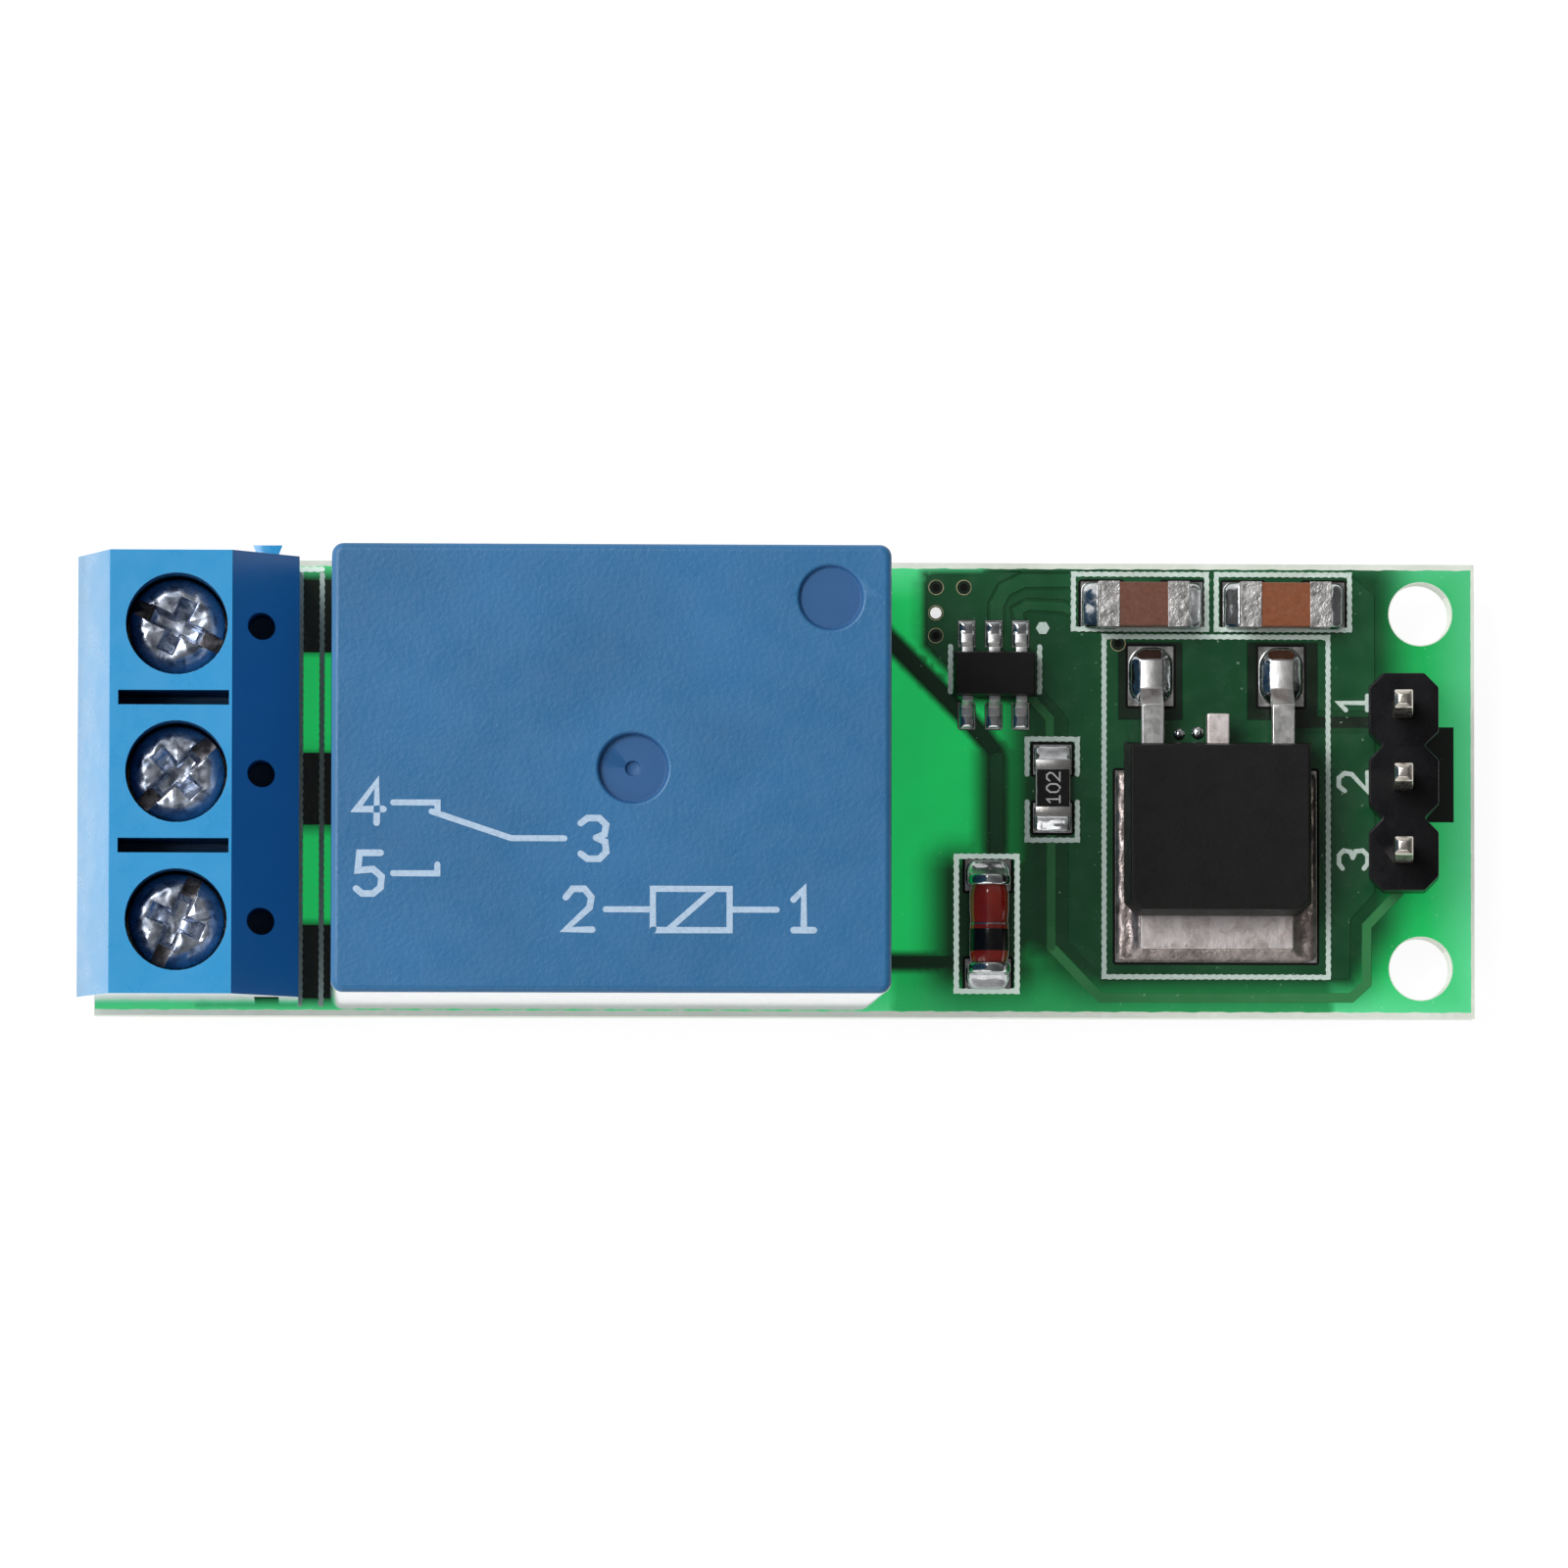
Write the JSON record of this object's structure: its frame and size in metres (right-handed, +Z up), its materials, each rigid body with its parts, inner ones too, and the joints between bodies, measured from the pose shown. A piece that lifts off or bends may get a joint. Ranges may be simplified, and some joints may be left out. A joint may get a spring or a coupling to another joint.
{
  "type": "relay module board",
  "caption": "Narrow relay module: green board with screw terminal block, sealed cube relay, surface-mount driver parts, regulator and pin header.",
  "frame": {"origin": "bottom centre of the module's bounding box, at the level of the trimmed lead ends it stands on", "axes": "+X along the board from the screw terminals to the pin header, +Z up out of the component side"},
  "size_m": [0.049, 0.016, 0.0186],
  "materials": {
    "board_laminate": "green solder mask over glass epoxy",
    "tinned_copper": "hot tin levelled lands",
    "solder": "bright solder",
    "terminal_plastic": "satin moulded blue",
    "plated_brass": "tin plated",
    "zinc_steel": "bright zinc plate",
    "relay_plastic": "fine satin moulded blue",
    "relay_base_plastic": "moulded dark blue",
    "magnet_iron": "nickel plated",
    "bobbin_plastic": "moulded natural",
    "enamelled_wire": "enamelled copper winding",
    "contact_metal": "copper alloy with silver contacts",
    "header_plastic": "moulded black",
    "header_metal": "tin plated",
    "package_plastic": "moulded black epoxy",
    "lead_metal": "matt tin plate",
    "capacitor_ceramic": "fired brown ceramic",
    "resistor_ceramic": "white alumina",
    "resistor_glaze": "black overglaze",
    "diode_glass": "clear orange red glass",
    "silicon": "polished"
  },
  "bodies": {
    "module": {"circuit_board": "board_laminate", "copper_lands": "tinned_copper", "surface_solder": "solder", "through_hole_solder": "solder", "terminal_housing": "terminal_plastic", "relay_cover": "relay_plastic", "relay_base": "relay_base_plastic", "relay_yoke": "magnet_iron", "relay_core": "magnet_iron", "relay_bobbin": "bobbin_plastic", "relay_coil": "enamelled_wire", "relay_common_terminal": "contact_metal", "relay_coil_terminals": "lead_metal", "relay_closed_terminal": "contact_metal", "relay_open_terminal": "contact_metal", "header_housing": "header_plastic", "regulator_body": "package_plastic", "regulator_leads": "lead_metal", "regulator_tab": "lead_metal", "driver_body": "package_plastic", "driver_leads": "lead_metal", "output_capacitor_body": "capacitor_ceramic", "output_capacitor_ends": "lead_metal", "input_capacitor_body": "capacitor_ceramic", "input_capacitor_ends": "lead_metal", "resistor_body": "resistor_ceramic", "resistor_ends": "lead_metal", "resistor_glaze": "resistor_glaze", "diode_glass": "diode_glass", "diode_caps": "lead_metal", "diode_die": "silicon", "terminal_contact_1": "plated_brass", "header_pin_1": "header_metal", "terminal_contact_2": "plated_brass", "header_pin_2": "header_metal", "terminal_contact_3": "plated_brass", "header_pin_3": "header_metal"},
    "armature": {"relay_armature": "magnet_iron", "relay_contact_leaf": "contact_metal"},
    "guard_1": {"wire_guard_1": "zinc_steel"},
    "screw_1": {"clamp_screw_1": "zinc_steel"},
    "guard_2": {"wire_guard_2": "zinc_steel"},
    "screw_2": {"clamp_screw_2": "zinc_steel"},
    "guard_3": {"wire_guard_3": "zinc_steel"},
    "screw_3": {"clamp_screw_3": "zinc_steel"}
  },
  "joints": [
    {"name": "guard_1_slide", "type": "slide", "parent": "module", "child": "guard_1", "axis": [0, 0, -1], "range_m": [0, 0.0022]},
    {"name": "screw_1_turn", "type": "hinge", "parent": "guard_1", "child": "screw_1", "pos_m": [-0.02105, 0.00508, 0.0111], "axis": [0, 0, -1], "range_deg": [0, 1590]},
    {"name": "guard_2_slide", "type": "slide", "parent": "module", "child": "guard_2", "axis": [0, 0, -1], "range_m": [0, 0.0022]},
    {"name": "screw_2_turn", "type": "hinge", "parent": "guard_2", "child": "screw_2", "pos_m": [-0.02105, 0, 0.0111], "axis": [0, 0, -1], "range_deg": [0, 1590]},
    {"name": "guard_3_slide", "type": "slide", "parent": "module", "child": "guard_3", "axis": [0, 0, -1], "range_m": [0, 0.0022]},
    {"name": "screw_3_turn", "type": "hinge", "parent": "guard_3", "child": "screw_3", "pos_m": [-0.02105, -0.00508, 0.0111], "axis": [0, 0, -1], "range_deg": [0, 1590]},
    {"name": "armature_swing", "type": "hinge", "parent": "module", "child": "armature", "pos_m": [-0.00005, -0.00015, 0.01455], "axis": [0, -1, 0], "range_deg": [0, 2.4], "stiffness_Nm_per_rad": 0.006, "springref_deg": -11.46}
  ],
  "couplings": [
    {"joint": "screw_1_turn", "follows": "guard_1_slide", "rad_per_m": 12566},
    {"joint": "screw_2_turn", "follows": "guard_2_slide", "rad_per_m": 12566},
    {"joint": "screw_3_turn", "follows": "guard_3_slide", "rad_per_m": 12566}
  ]
}
